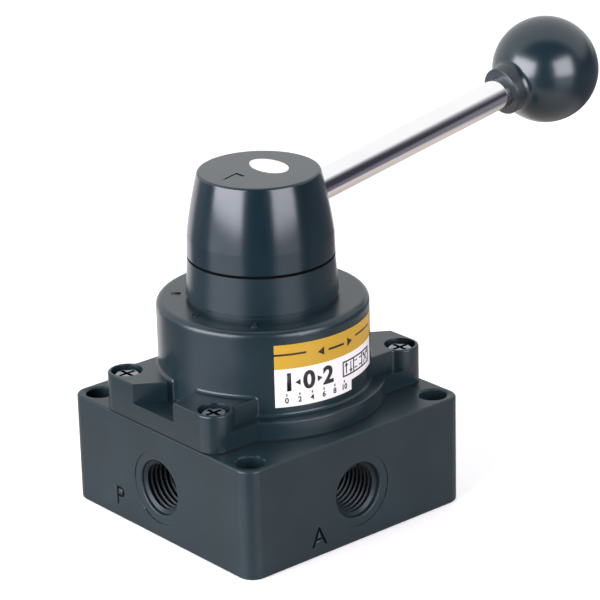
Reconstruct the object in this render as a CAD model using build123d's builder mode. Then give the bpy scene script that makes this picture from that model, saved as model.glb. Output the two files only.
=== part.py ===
"""Hand lever air valve: a ported body, a rotary valve disc under a cast bonnet, and a lever with a ball knob.

The origin is the centre of the body's underside. The lever points to +X in its middle position.
"""
import os
from math import asin, cos, degrees, hypot, pi, radians, sin, sqrt

from build123d import *

# Fits and small clearances
running_clearance = 0.04
seat_clearance = 0.02
film_gap = 0.02
screw_hole_clearance = 0.2
hub_seam = 0.4

# Body
body_side = 66.0
body_height = 27.0
body_corner_radius = 4.0
body_edge_radius = 0.6
mount_inset = 5.0
mount_hole_radius = 3.3
mount_hole_chamfer = 0.4

# Ports, a quarter inch pipe thread in each side
port_axis_height = 12.7
port_thread_radius = 6.58
port_thread_depth = 15.0
port_mouth_chamfer = 0.5
port_drill_radius = 4.6
port_drill_overrun = 1.0
spot_face_radius = 8.9
spot_face_depth = 0.15
passage_radius = 3.5
passage_circle_radius = 11.5
port_angles = (0, 90, 180, 270)

# Seat plate with its dowels and seals
seat_plate_radius = 20.0
seat_plate_thickness = 3.0
dowel_radius = 1.25
dowel_circle_radius = 16.5
dowel_depth = 4.0
dowel_below_seat = 0.5
port_seal_section = 1.4
port_seal_wall = 0.8
body_seal_section = 1.8
body_seal_wall = 1.6
seal_groove_spare = 0.6

# Cover screws
screw_radius = 2.0
screw_head_radius = 3.5
screw_head_height = 2.6
screw_head_crown = 1.1
screw_depth_in_body = 11.0
cross_slot_width = 0.9
cross_slot_length = 4.4
cross_slot_depth = 1.4
washer_radius = 3.4
washer_thickness = 1.0
washer_split = 0.8
screw_recess_clearance = 0.25
screw_recess_depth = 4.4

# Bonnet casting
foot_ledge_share = 0.4375
foot_width = 41.2
foot_height = 4.6
foot_corner_radius = 4.5
lug_height = 9.3
casting_edge_radius = 0.4
casting_fillet = 0.8
web_corner_radius = 1.2
web_inset = 2.4
wide_lug_inner_edge = 6.9
narrow_lug_inner_edge = 8.1
narrow_lug_reach = 6.6
narrow_lug_root = 3.6
barrel_radius = 25.0
barrel_top_radius = 1.6
shoulder_land = 0.3
chamber_radius = 19.5
roof_thickness = 6.0
neck_groove_radius = 17.3
neck_groove_height = 1.3
neck_base_radius = 17.95
neck_top_radius = 17.2
neck_height = 10.3

# Rotary disc and its cone springs
rotor_side_gap = 0.5
rotor_thickness = 9.0
channel_depth = 4.0
channel_swing = 90.0
disc_spring_outer_radius = 10.0
disc_spring_thickness = 0.8
disc_spring_rise = 0.55

# Spindle
spindle_radius = 6.0
spindle_flange_radius = 17.5
spindle_flange_thickness = 6.0
tang_radius = 5.5
tang_width = 8.0
tang_depth = 5.0
head_flat_width = 9.0
head_top_above_lever_axis = 5.4
drive_pin_radius = 1.0
drive_pin_length = 15.0
drive_pin_height = 2.5
thrust_washer_radius = 11.5
thrust_washer_thickness = 1.5
bush_wall = 3.0
bush_length = 9.5
spindle_seal_section = 1.3
spindle_seal_spacing = 2.6
circlip_thickness = 1.0
circlip_groove_depth = 0.5
circlip_width = 3.0
circlip_gap = 5.0

# Stops at both ends of the lever's turn
lever_swing = 45.0
stop_pin_radius = 1.5
stop_pin_circle_radius = 14.3
stop_pin_depth = 4.0
stop_pin_reach = 3.2
stop_slack = 0.06

# Hub
hub_base_radius = 17.35
hub_band_height = 4.8
hub_band_taper = 0.15
hub_top_radius = 14.3
hub_height = 19.9
hub_bulge = 0.25
hub_edge_radius = 0.7
hub_recess_radius = 10.0
hub_recess_depth = 1.9
pointer_tip_radius = 11.0
pointer_base_radius = 5.3
pointer_half_width = 1.6
pointer_depth = 0.5
badge_length = 11.6
badge_width = 7.2
badge_thickness = 0.5
badge_recess = 0.3
badge_x = 3.1
badge_y = 0.0
badge_turn = 88.0

# Detents
detent_ball_radius = 1.9
detent_circle_radius = 12.7
detent_angles = (90, 270)
detent_travel = 0.5
dimple_slack = 0.1
dimple_spare_radius = 0.3
detent_bore_depth = 9.5
detent_wire_radius = 0.3
detent_coil_radius = 1.35
detent_coil_turns = 4

# Lever rod and ball knob
lever_height_above_seam = 8.2
lever_slant = 9.8
rod_radius = 3.8
rod_seat_distance = 9.5
rod_spigot_radius = 3.0
rod_spigot_end = 5.3
rod_dog_radius = 2.2
rod_dog_end = 2.6
knob_distance = 94.7
knob_radius = 13.3
collar_radius = 5.95
collar_reach = 15.6
collar_flare_radius = 3.0
insert_radius = 4.5
insert_setback = 1.0
insert_length = 13.0
rod_thread_length = 11.0

# Label foil on the barrel
label_thickness = 0.15
label_half_angle = 36.2
label_centre_angle = 271.7
label_bottom = 6.8
label_height = 15.2
label_notch_angle = 25.0
label_notch_height = 2.2

# Levels, from the body's underside upwards
seat_floor = body_height - seat_plate_thickness
rotor_bottom = body_height + film_gap
rotor_top = rotor_bottom + rotor_thickness
spring_stack = 2 * (disc_spring_thickness + disc_spring_rise)
flange_bottom = rotor_top + spring_stack + film_gap
flange_top = flange_bottom + spindle_flange_thickness
chamber_roof = flange_top + thrust_washer_thickness + film_gap
barrel_top = chamber_roof + roof_thickness
neck_top = barrel_top + neck_height
hub_bottom = neck_top + hub_seam
hub_top = hub_bottom + hub_height
lever_height = hub_bottom + lever_height_above_seam
head_top = lever_height + head_top_above_lever_axis
foot_top = body_height + foot_height
lug_top = body_height + lug_height
screw_seat = lug_top - screw_recess_depth
mount_pitch = body_side - 2 * mount_inset
foot_ledge = foot_ledge_share * (body_side / 2 - barrel_radius)
foot_radius = barrel_radius + foot_ledge
screw_recess_radius = screw_head_radius + screw_recess_clearance
web_half_width = foot_width / 2 - web_inset
corner_x = body_side / 2 - foot_corner_radius
corner_y = foot_width / 2 - foot_corner_radius
screw_pitch_x = 2 * corner_x
screw_pitch_y = 2 * corner_y

# Planes and axes used by several pieces
lever_direction = (cos(radians(lever_slant)), 0, sin(radians(lever_slant)))
lever_plane = Plane(origin=(0, 0, lever_height), x_dir=lever_direction, z_dir=(0, -1, 0))
lever_axis = Axis((0, 0, lever_height), lever_direction)


def port_plane(angle, distance):
    """Plane square to a port's axis, facing outwards at a distance from the valve's centre."""
    outward = (cos(radians(angle)), sin(radians(angle)), 0)
    origin = (distance * outward[0], distance * outward[1], port_axis_height)
    return Plane(origin=origin, x_dir=(-outward[1], outward[0], 0), z_dir=outward)


def groove_width(section):
    """Width of the groove that holds a seal ring of the given section."""
    return section + seal_groove_spare


def near(value, wanted):
    """Whether a measure is the wanted one."""
    return abs(value - wanted) < 1e-4


def reach(edge):
    """Distance of an edge's middle from the valve's axis."""
    middle = edge.position_at(0.5)
    return hypot(middle.X, middle.Y)


os.makedirs("parts", exist_ok=True)

# Valve body: cast block with four ports, their passages, the seat recess and the seal grooves
port_seal_inner = passage_radius + port_seal_wall
body_seal_inner = seat_plate_radius + body_seal_wall
with BuildPart() as valve_body:
    with BuildSketch(Plane.XY):
        RectangleRounded(body_side, body_side, body_corner_radius)
    extrude(amount=body_height)
    rims = valve_body.faces().sort_by(Axis.Z)[-1].edges() + valve_body.faces().sort_by(Axis.Z)[0].edges()
    fillet(rims, body_edge_radius)
    with BuildSketch(Plane.XY.offset(body_height)):
        Circle(seat_plate_radius + seat_clearance)
    extrude(amount=-seat_plate_thickness, mode=Mode.SUBTRACT)
    with BuildSketch(Plane.XY.offset(body_height)):
        Circle(body_seal_inner + groove_width(body_seal_section))
        Circle(body_seal_inner, mode=Mode.SUBTRACT)
    extrude(amount=-body_seal_section - seat_clearance, mode=Mode.SUBTRACT)
    for angle in port_angles:
        with BuildSketch(port_plane(angle, body_side / 2)):
            Circle(spot_face_radius)
        extrude(amount=-spot_face_depth, mode=Mode.SUBTRACT)
        with BuildSketch(port_plane(angle, body_side / 2)):
            Circle(port_thread_radius)
        extrude(amount=-port_thread_depth, mode=Mode.SUBTRACT)
        with BuildSketch(port_plane(angle, body_side / 2 - port_thread_depth)):
            Circle(port_drill_radius)
        drill_depth = body_side / 2 - port_thread_depth - passage_circle_radius + passage_radius + port_drill_overrun
        extrude(amount=-drill_depth, mode=Mode.SUBTRACT)
    with BuildSketch(Plane.XY.offset(seat_floor)):
        with PolarLocations(passage_circle_radius, len(port_angles)):
            Circle(passage_radius)
    extrude(amount=port_axis_height - seat_floor, mode=Mode.SUBTRACT)
    with BuildSketch(Plane.XY.offset(seat_floor)):
        with PolarLocations(passage_circle_radius, len(port_angles)):
            Circle(port_seal_inner + groove_width(port_seal_section))
            Circle(port_seal_inner, mode=Mode.SUBTRACT)
    extrude(amount=-port_seal_section - seat_clearance, mode=Mode.SUBTRACT)
    with BuildSketch(Plane.XY.offset(seat_floor)):
        with PolarLocations(dowel_circle_radius, 2, start_angle=45):
            Circle(dowel_radius + seat_clearance)
    extrude(amount=-dowel_depth, mode=Mode.SUBTRACT)
    with BuildSketch(Plane.XY.offset(body_height)):
        with GridLocations(screw_pitch_x, screw_pitch_y, 2, 2):
            Circle(screw_radius + seat_clearance)
    extrude(amount=-screw_depth_in_body, mode=Mode.SUBTRACT)
    with BuildSketch(Plane.XY.offset(body_height)):
        with GridLocations(mount_pitch, mount_pitch, 2, 2):
            Circle(mount_hole_radius)
    extrude(amount=-body_height, mode=Mode.SUBTRACT)
    round_edges = valve_body.edges().filter_by(GeomType.CIRCLE)
    mount_mouths = round_edges.filter_by(lambda e: near(e.radius, mount_hole_radius))
    chamfer(mount_mouths.sort_by(Axis.Z)[-4:], mount_hole_chamfer)
    round_edges = valve_body.edges().filter_by(GeomType.CIRCLE)
    port_mouths = round_edges.filter_by(
        lambda e: near(e.radius, port_thread_radius)
        and near(hypot(e.arc_center.X, e.arc_center.Y), body_side / 2 - spot_face_depth)
    )
    chamfer(port_mouths, port_mouth_chamfer)
valve_body.part.label = "valve_body"
export_step(valve_body.part, "parts/valve_body.step")

# Port seals: rings round the four passages, under the seat plate
port_seal_centre = port_seal_inner + seat_clearance + port_seal_section / 2
with BuildPart() as port_seals:
    with Locations(Plane.XY.offset(seat_floor - port_seal_section / 2 - seat_clearance / 2)):
        with PolarLocations(passage_circle_radius, len(port_angles)):
            Torus(port_seal_centre, port_seal_section / 2)
port_seals.part.label = "port_seals"
export_step(port_seals.part, "parts/port_seals.step")

# Body seal: ring between the body and the bonnet
body_seal_centre = body_seal_inner + seat_clearance + body_seal_section / 2
with BuildPart() as body_seal:
    with Locations(Plane.XY.offset(body_height - body_seal_section / 2 - seat_clearance / 2)):
        Torus(body_seal_centre, body_seal_section / 2)
body_seal.part.label = "body_seal"
export_step(body_seal.part, "parts/body_seal.step")

# Seat plate: lapped disc with a hole over each passage
with BuildPart() as seat_plate:
    with BuildSketch(Plane.XY.offset(seat_floor)):
        Circle(seat_plate_radius)
        with PolarLocations(passage_circle_radius, len(port_angles)):
            Circle(passage_radius, mode=Mode.SUBTRACT)
        with PolarLocations(dowel_circle_radius, 2, start_angle=45):
            Circle(dowel_radius + seat_clearance, mode=Mode.SUBTRACT)
    extrude(amount=seat_plate_thickness)
seat_plate.part.label = "seat_plate"
export_step(seat_plate.part, "parts/seat_plate.step")

# Seat dowels: two pins that hold the plate in line
with BuildPart() as seat_dowels:
    with BuildSketch(Plane.XY.offset(seat_floor - dowel_depth)):
        with PolarLocations(dowel_circle_radius, 2, start_angle=45):
            Circle(dowel_radius)
    extrude(amount=dowel_depth + seat_plate_thickness - dowel_below_seat)
seat_dowels.part.label = "seat_dowels"
export_step(seat_dowels.part, "parts/seat_dowels.step")

# Bonnet: foot flange and lugs, barrel, neck, and the chamber for the disc
bush_radius = spindle_radius + bush_wall
neck_bore_radius = spindle_radius + running_clearance
dimple_radius = detent_ball_radius + dimple_spare_radius
dimple_depth = detent_travel + dimple_slack
with BuildPart() as bonnet:
    with BuildSketch(Plane.XY.offset(body_height)):
        Circle(barrel_radius)
    extrude(amount=barrel_top - body_height)
    with BuildSketch(Plane.XY.offset(body_height)):
        Circle(foot_radius)
        RectangleRounded(body_side, foot_width, foot_corner_radius)
    extrude(amount=foot_height)
    for turn in (0, 180):
        side = Plane.XY.offset(body_height).rotated((0, 0, turn))
        with BuildSketch(side):
            with BuildLine():
                Polyline(
                    (-body_side / 2, -corner_y),
                    (-body_side / 2, -wide_lug_inner_edge),
                    (0, 0),
                    (0, -web_half_width),
                    (-corner_x, -web_half_width),
                    close=True,
                )
            make_face()
            with BuildLine():
                Polyline(
                    (-body_side / 2, corner_y),
                    (-body_side / 2, narrow_lug_inner_edge),
                    (-body_side / 2 + narrow_lug_reach, narrow_lug_root),
                    (0, narrow_lug_root),
                    (0, web_half_width),
                    (-corner_x, web_half_width),
                    close=True,
                )
            make_face()
            with Locations((-corner_x, -corner_y), (-corner_x, corner_y)):
                Circle(foot_corner_radius)
        extrude(amount=lug_height)
    web_corners = bonnet.edges().filter_by(Axis.Z).filter_by(
        lambda e: near(abs(e.center().Y), web_half_width) and reach(e) > barrel_radius + 0.05
    )
    fillet(web_corners, min(web_corner_radius, foot_ledge / 3))
    lug_rims = bonnet.edges().filter_by(lambda e: near(e.center().Z, lug_top) and reach(e) > barrel_radius + 0.05)
    fillet(lug_rims, casting_edge_radius)
    barrel_roots = bonnet.edges().filter_by(
        lambda e: near(reach(e), barrel_radius) and foot_top - 0.01 < e.center().Z < lug_top + 0.01
    )
    fillet(barrel_roots, min(casting_fillet, foot_ledge / 3))
    foot_rims = bonnet.edges().filter_by(GeomType.CIRCLE).filter_by(
        lambda e: near(e.center().Z, foot_top) and near(reach(e), foot_radius)
    )
    fillet(foot_rims, min(casting_edge_radius, foot_ledge / 4))
    shoulder = bonnet.edges().filter_by(GeomType.CIRCLE).filter_by(
        lambda e: near(e.radius, barrel_radius) and near(e.center().Z, barrel_top)
    )
    fillet(shoulder, min(barrel_top_radius, barrel_radius - neck_base_radius - shoulder_land))
    with BuildSketch(Plane.XZ):
        with BuildLine():
            Polyline(
                (0, barrel_top),
                (neck_groove_radius, barrel_top),
                (neck_groove_radius, barrel_top + neck_groove_height),
                (neck_base_radius, barrel_top + neck_groove_height),
                (neck_top_radius, neck_top),
                (0, neck_top),
                close=True,
            )
        make_face()
    revolve(axis=Axis.Z)
    with BuildSketch(Plane.XY.offset(body_height)):
        Circle(chamber_radius)
    extrude(amount=chamber_roof - body_height, mode=Mode.SUBTRACT)
    with BuildSketch(Plane.XY.offset(chamber_roof)):
        Circle(bush_radius + seat_clearance)
    extrude(amount=bush_length, mode=Mode.SUBTRACT)
    with BuildSketch(Plane.XY.offset(chamber_roof)):
        Circle(neck_bore_radius)
    extrude(amount=neck_top - chamber_roof, mode=Mode.SUBTRACT)
    with BuildSketch(Plane.XY.offset(chamber_roof)):
        with Locations((-stop_pin_circle_radius, 0)):
            Circle(stop_pin_radius + seat_clearance)
    extrude(amount=stop_pin_depth, mode=Mode.SUBTRACT)
    with BuildSketch(Plane.XY.offset(body_height)):
        with GridLocations(screw_pitch_x, screw_pitch_y, 2, 2):
            Circle(screw_radius + screw_hole_clearance)
    extrude(amount=lug_height, mode=Mode.SUBTRACT)
    with BuildSketch(Plane.XY.offset(screw_seat)):
        with GridLocations(screw_pitch_x, screw_pitch_y, 2, 2):
            Circle(screw_recess_radius)
    extrude(amount=screw_recess_depth, mode=Mode.SUBTRACT)
    with Locations(Plane.XY.offset(neck_top - dimple_depth + dimple_radius)):
        for angle in detent_angles:
            with PolarLocations(detent_circle_radius, 3, angle - lever_swing, 2 * lever_swing, endpoint=True):
                Sphere(dimple_radius, mode=Mode.SUBTRACT)
bonnet.part.label = "bonnet"
export_step(bonnet.part, "parts/bonnet.step")

# Cover screws: four pan heads with a cross slot
head_base = screw_seat + washer_thickness
screw_tip = body_height - screw_depth_in_body + screw_hole_clearance
with BuildPart() as screw_form:
    with BuildSketch(Plane.XY.offset(screw_tip)):
        Circle(screw_radius)
    extrude(amount=head_base - screw_tip)
    with BuildSketch(Plane.XY.offset(head_base)):
        Circle(screw_head_radius)
    extrude(amount=screw_head_height)
    fillet(screw_form.faces().sort_by(Axis.Z)[-1].edges(), screw_head_crown)
    with BuildSketch(Plane.XY.offset(head_base + screw_head_height)):
        Rectangle(cross_slot_length, cross_slot_width)
        Rectangle(cross_slot_width, cross_slot_length)
    extrude(amount=-cross_slot_depth, mode=Mode.SUBTRACT)
with BuildPart() as cover_screws:
    with GridLocations(screw_pitch_x, screw_pitch_y, 2, 2):
        add(screw_form.part)
cover_screws.part.label = "cover_screws"
export_step(cover_screws.part, "parts/cover_screws.step")

# Lock washers: split rings under the screw heads
with BuildPart() as lock_washers:
    with BuildSketch(Plane.XY.offset(screw_seat)):
        with GridLocations(screw_pitch_x, screw_pitch_y, 2, 2):
            Circle(washer_radius)
            Circle(screw_radius + screw_hole_clearance, mode=Mode.SUBTRACT)
            with Locations((washer_radius / 2, 0)):
                Rectangle(washer_radius, washer_split, mode=Mode.SUBTRACT)
    extrude(amount=washer_thickness)
lock_washers.part.label = "lock_washers"
export_step(lock_washers.part, "parts/lock_washers.step")

# Spindle bush: bearing in the neck
with BuildPart() as spindle_bush:
    with BuildSketch(Plane.XY.offset(chamber_roof)):
        Circle(bush_radius)
        Circle(neck_bore_radius, mode=Mode.SUBTRACT)
    extrude(amount=bush_length)
spindle_bush.part.label = "spindle_bush"
export_step(spindle_bush.part, "parts/spindle_bush.step")

# Thrust washer: between the spindle's flange and the chamber roof
with BuildPart() as thrust_washer:
    with BuildSketch(Plane.XY.offset(flange_top + film_gap)):
        Circle(thrust_washer_radius)
        Circle(neck_bore_radius, mode=Mode.SUBTRACT)
    extrude(amount=thrust_washer_thickness)
thrust_washer.part.label = "thrust_washer"
export_step(thrust_washer.part, "parts/thrust_washer.step")

# Stop pin: stands in the roof and reaches into the flange's curved slot
with BuildPart() as stop_pin:
    with BuildSketch(Plane.XY.offset(flange_top - stop_pin_reach)):
        with Locations((-stop_pin_circle_radius, 0)):
            Circle(stop_pin_radius)
    extrude(amount=stop_pin_reach + chamber_roof - flange_top + stop_pin_depth)
stop_pin.part.label = "stop_pin"
export_step(stop_pin.part, "parts/stop_pin.step")

# Label foil: a thin shell wrapped on the barrel, facing -Y, with its lower right corner cut out
label_start = label_centre_angle - label_half_angle
label_turn = 2 * label_half_angle
with BuildPart() as name_label:
    for bottom, top, turn in (
        (label_bottom, label_bottom + label_notch_height, label_turn - label_notch_angle),
        (label_bottom + label_notch_height, label_bottom + label_height, label_turn),
    ):
        with BuildSketch(Plane.XY.offset(body_height + bottom)):
            with BuildLine():
                inner_arc = CenterArc((0, 0), barrel_radius + seat_clearance, label_start, turn)
                outer_arc = CenterArc((0, 0), barrel_radius + seat_clearance + label_thickness, label_start, turn)
                Line(inner_arc @ 0, outer_arc @ 0)
                Line(inner_arc @ 1, outer_arc @ 1)
            make_face()
        extrude(amount=top - bottom)
name_label.part.label = "name_label"
export_step(name_label.part, "parts/name_label.step")

# Rotary disc: two curved channels below, a driving pocket above
rotor_radius = chamber_radius - rotor_side_gap
tang_bottom = rotor_top - tang_depth
pin_level = rotor_top - drive_pin_height
with BuildPart() as rotor_disc:
    with BuildSketch(Plane.XY.offset(rotor_bottom)):
        Circle(rotor_radius)
    extrude(amount=rotor_thickness)
    for centre in (0, 180):
        with BuildSketch(Plane.XY.offset(rotor_bottom)):
            SlotArc(
                CenterArc((0, 0), passage_circle_radius, centre - channel_swing / 2, channel_swing),
                height=2 * passage_radius,
            )
        extrude(amount=channel_depth, mode=Mode.SUBTRACT)
    with BuildSketch(Plane.XY.offset(rotor_top)):
        Circle(tang_radius + seat_clearance)
        Rectangle(2 * tang_radius + 1, tang_width + 2 * seat_clearance, mode=Mode.INTERSECT)
    extrude(amount=-tang_depth - seat_clearance, mode=Mode.SUBTRACT)
    with BuildSketch(Plane.XZ.offset(-drive_pin_length / 2 - seat_clearance)):
        with Locations((0, pin_level)):
            Circle(drive_pin_radius + seat_clearance)
    extrude(amount=drive_pin_length + 2 * seat_clearance, mode=Mode.SUBTRACT)
rotor_disc.part.label = "rotor_disc"
export_step(rotor_disc.part, "parts/rotor_disc.step")

# Drive pin: crosses the disc and the spindle's tang
with BuildPart() as drive_pin:
    with BuildSketch(Plane.XZ.offset(-drive_pin_length / 2)):
        with Locations((0, pin_level)):
            Circle(drive_pin_radius)
    extrude(amount=drive_pin_length)
drive_pin.part.label = "drive_pin"
export_step(drive_pin.part, "parts/drive_pin.step")

# Disc springs: two opposed cones round the tang
with BuildPart() as disc_springs:
    inner = tang_radius + running_clearance + seat_clearance
    middle = rotor_top + spring_stack / 2 + film_gap / 2
    for level, lift in ((rotor_top, 1), (flange_bottom, -1)):
        rim_low = level
        rim_high = level + lift * disc_spring_thickness
        rise = lift * disc_spring_rise
        with BuildSketch(Plane.XZ):
            with BuildLine():
                Polyline(
                    (disc_spring_outer_radius, rim_low + rise),
                    (disc_spring_outer_radius, rim_high + rise),
                    (inner, rim_high),
                    (inner, rim_low),
                    close=True,
                )
            make_face()
        revolve(axis=Axis.Z)
disc_springs.part.label = "disc_springs"
export_step(disc_springs.part, "parts/disc_springs.step")

# Spindle: tang, flange with the curved stop slot, shaft with seal grooves, and a head with two flats
seal_groove_radius = neck_bore_radius - spindle_seal_section - 2 * seat_clearance
seal_level = neck_top - spindle_seal_spacing
slot_half_angle = lever_swing + degrees(asin(stop_slack / stop_pin_circle_radius))
clip_bottom = neck_top + film_gap
with BuildPart() as spindle:
    with BuildSketch(Plane.XY.offset(tang_bottom)):
        Circle(tang_radius)
        Rectangle(2 * tang_radius + 1, tang_width, mode=Mode.INTERSECT)
    extrude(amount=flange_bottom - tang_bottom)
    with BuildSketch(Plane.XY.offset(flange_bottom)):
        Circle(spindle_flange_radius)
    extrude(amount=spindle_flange_thickness)
    with BuildSketch(Plane.XY.offset(flange_top)):
        Circle(spindle_radius)
    extrude(amount=head_top - flange_top)
    with BuildSketch(Plane.XY.offset(flange_top)):
        SlotArc(
            CenterArc((0, 0), stop_pin_circle_radius, 180 - slot_half_angle, 2 * slot_half_angle),
            height=2 * (stop_pin_radius + stop_slack),
        )
    extrude(amount=-stop_pin_reach - stop_slack, mode=Mode.SUBTRACT)
    for level in (seal_level, seal_level - spindle_seal_spacing):
        with BuildSketch(Plane.XY.offset(level)):
            Circle(spindle_radius + 1)
            Circle(seal_groove_radius, mode=Mode.SUBTRACT)
        extrude(amount=groove_width(spindle_seal_section) / 2, both=True, mode=Mode.SUBTRACT)
    with BuildSketch(Plane.XY.offset(clip_bottom)):
        Circle(spindle_radius + 1)
        Circle(spindle_radius - circlip_groove_depth, mode=Mode.SUBTRACT)
    extrude(amount=circlip_thickness + seat_clearance, mode=Mode.SUBTRACT)
    with BuildSketch(Plane.XY.offset(clip_bottom + circlip_thickness + seat_clearance)):
        Circle(spindle_radius + 1)
        Rectangle(head_flat_width, 2 * spindle_radius + 2, mode=Mode.SUBTRACT)
    extrude(amount=head_top - clip_bottom, mode=Mode.SUBTRACT)
    with BuildSketch(Plane.XZ.offset(-tang_width / 2 - 1)):
        with Locations((0, pin_level)):
            Circle(drive_pin_radius + seat_clearance)
    extrude(amount=tang_width + 2, mode=Mode.SUBTRACT)
    with BuildSketch(lever_plane):
        with BuildLine():
            Polyline(
                (rod_dog_end - seat_clearance, 0),
                (rod_dog_end - seat_clearance, rod_dog_radius + seat_clearance),
                (spindle_radius + 1, rod_dog_radius + seat_clearance),
                (spindle_radius + 1, 0),
                close=True,
            )
        make_face()
    revolve(axis=lever_axis, mode=Mode.SUBTRACT)
spindle.part.label = "spindle"
export_step(spindle.part, "parts/spindle.step")

# Spindle seals: two rings in the shaft's grooves
with BuildPart() as spindle_seals:
    for level in (seal_level, seal_level - spindle_seal_spacing):
        with Locations(Plane.XY.offset(level)):
            Torus(seal_groove_radius + seat_clearance + spindle_seal_section / 2, spindle_seal_section / 2)
spindle_seals.part.label = "spindle_seals"
export_step(spindle_seals.part, "parts/spindle_seals.step")

# Retaining ring: open clip in the spindle's groove, above the neck
with BuildPart() as retaining_ring:
    with BuildSketch(Plane.XY.offset(clip_bottom + seat_clearance / 2)):
        Circle(spindle_radius + circlip_width)
        Circle(spindle_radius - circlip_groove_depth + seat_clearance, mode=Mode.SUBTRACT)
        with Locations((-spindle_radius, 0)):
            Rectangle(2 * spindle_radius, circlip_gap, mode=Mode.SUBTRACT)
    extrude(amount=circlip_thickness)
retaining_ring.part.label = "retaining_ring"
export_step(retaining_ring.part, "parts/retaining_ring.step")

# Hub: tapered cap with the spindle's socket, the lever's bore and two detent bores
band_top = hub_bottom + hub_band_height
band_radius = hub_base_radius - hub_band_taper
with BuildPart() as hub:
    with BuildSketch(Plane.XZ):
        with BuildLine():
            Polyline((0, hub_top), (0, hub_bottom), (hub_base_radius, hub_bottom), (band_radius, band_top))
            ThreePointArc(
                (band_radius, band_top),
                ((band_radius + hub_top_radius) / 2 + hub_bulge, (band_top + hub_top) / 2),
                (hub_top_radius, hub_top),
            )
            Line((hub_top_radius, hub_top), (0, hub_top))
        make_face()
    revolve(axis=Axis.Z)
    fillet(hub.faces().sort_by(Axis.Z)[-1].edges(), hub_edge_radius)
    with BuildSketch(Plane.XY.offset(hub_bottom)):
        Circle(hub_recess_radius)
    extrude(amount=hub_recess_depth, mode=Mode.SUBTRACT)
    with BuildSketch(Plane.XY.offset(hub_bottom)):
        Circle(spindle_radius + seat_clearance)
        Rectangle(head_flat_width + 2 * seat_clearance, 2 * spindle_radius + 1, mode=Mode.INTERSECT)
    extrude(amount=head_top + seat_clearance - hub_bottom, mode=Mode.SUBTRACT)
    with BuildSketch(Plane.XY.offset(hub_bottom)):
        for angle in detent_angles:
            with PolarLocations(detent_circle_radius, 1, start_angle=angle):
                Circle(detent_ball_radius + running_clearance)
    extrude(amount=detent_bore_depth, mode=Mode.SUBTRACT)
    with BuildSketch(lever_plane):
        with BuildLine():
            Polyline(
                (0, 0),
                (0, rod_spigot_radius + seat_clearance),
                (rod_seat_distance, rod_spigot_radius + seat_clearance),
                (rod_seat_distance, rod_radius + seat_clearance),
                (hub_base_radius + 3, rod_radius + seat_clearance),
                (hub_base_radius + 3, 0),
                close=True,
            )
        make_face()
    revolve(axis=lever_axis, mode=Mode.SUBTRACT)
    with BuildSketch(Plane.XY.offset(hub_top)):
        with BuildLine():
            Polyline(
                (-pointer_tip_radius, 0),
                (-pointer_base_radius, pointer_half_width),
                (-pointer_base_radius, -pointer_half_width),
                close=True,
            )
        make_face()
    extrude(amount=-pointer_depth, mode=Mode.SUBTRACT)
    with BuildSketch(Plane.XY.offset(hub_top)):
        with Locations(Location((badge_x, badge_y), badge_turn)):
            Ellipse(badge_length / 2 + seat_clearance, badge_width / 2 + seat_clearance)
    extrude(amount=-badge_recess, mode=Mode.SUBTRACT)
hub.part.label = "hub"
export_step(hub.part, "parts/hub.step")

# Hub badge: a plain oval let into the hub's top
with BuildPart() as hub_badge:
    with BuildSketch(Plane.XY.offset(hub_top - badge_recess)):
        with Locations(Location((badge_x, badge_y), badge_turn)):
            Ellipse(badge_length / 2, badge_width / 2)
    extrude(amount=badge_thickness)
hub_badge.part.label = "hub_badge"
export_step(hub_badge.part, "parts/hub_badge.step")

# Detent balls, standing on the neck between two dimples
ball_level = neck_top + film_gap + detent_ball_radius
with BuildPart() as detent_balls:
    with Locations(Plane.XY.offset(ball_level)):
        for angle in detent_angles:
            with PolarLocations(detent_circle_radius, 1, start_angle=angle):
                Sphere(detent_ball_radius)
detent_balls.part.label = "detent_balls"
export_step(detent_balls.part, "parts/detent_balls.step")

# Detent springs: coils between the balls and the ends of their bores
coil_foot = ball_level + sqrt(detent_ball_radius**2 - detent_coil_radius**2) + detent_wire_radius + film_gap
coil_head = hub_bottom + detent_bore_depth - detent_wire_radius - film_gap
coil_pitch = (coil_head - coil_foot) / detent_coil_turns
with BuildPart() as detent_springs:
    for angle in detent_angles:
        place = (
            detent_circle_radius * cos(radians(angle)),
            detent_circle_radius * sin(radians(angle)),
            coil_foot,
        )
        with BuildLine() as coil_line:
            Helix(coil_pitch, coil_head - coil_foot, detent_coil_radius, center=place)
        with BuildSketch(Plane(coil_line.line @ 0, z_dir=coil_line.line % 0)):
            Circle(detent_wire_radius)
        sweep(path=coil_line.line, is_frenet=True)
detent_springs.part.label = "detent_springs"
export_step(detent_springs.part, "parts/detent_springs.step")

# Lever rod: chrome bar with a spigot and dog in the hub and a thread in the knob
collar_face = knob_distance - collar_reach
insert_face = collar_face + insert_setback
with BuildPart() as lever_rod:
    with BuildSketch(lever_plane):
        with BuildLine():
            Polyline(
                (rod_dog_end, 0),
                (rod_dog_end, rod_dog_radius),
                (rod_spigot_end, rod_dog_radius),
                (rod_spigot_end, rod_spigot_radius),
                (rod_seat_distance + seat_clearance, rod_spigot_radius),
                (rod_seat_distance + seat_clearance, rod_radius),
                (insert_face - seat_clearance, rod_radius),
                (insert_face - seat_clearance, rod_spigot_radius),
                (insert_face + rod_thread_length, rod_spigot_radius),
                (insert_face + rod_thread_length, 0),
                close=True,
            )
        make_face()
    revolve(axis=lever_axis)
lever_rod.part.label = "lever_rod"
export_step(lever_rod.part, "parts/lever_rod.step")

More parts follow.
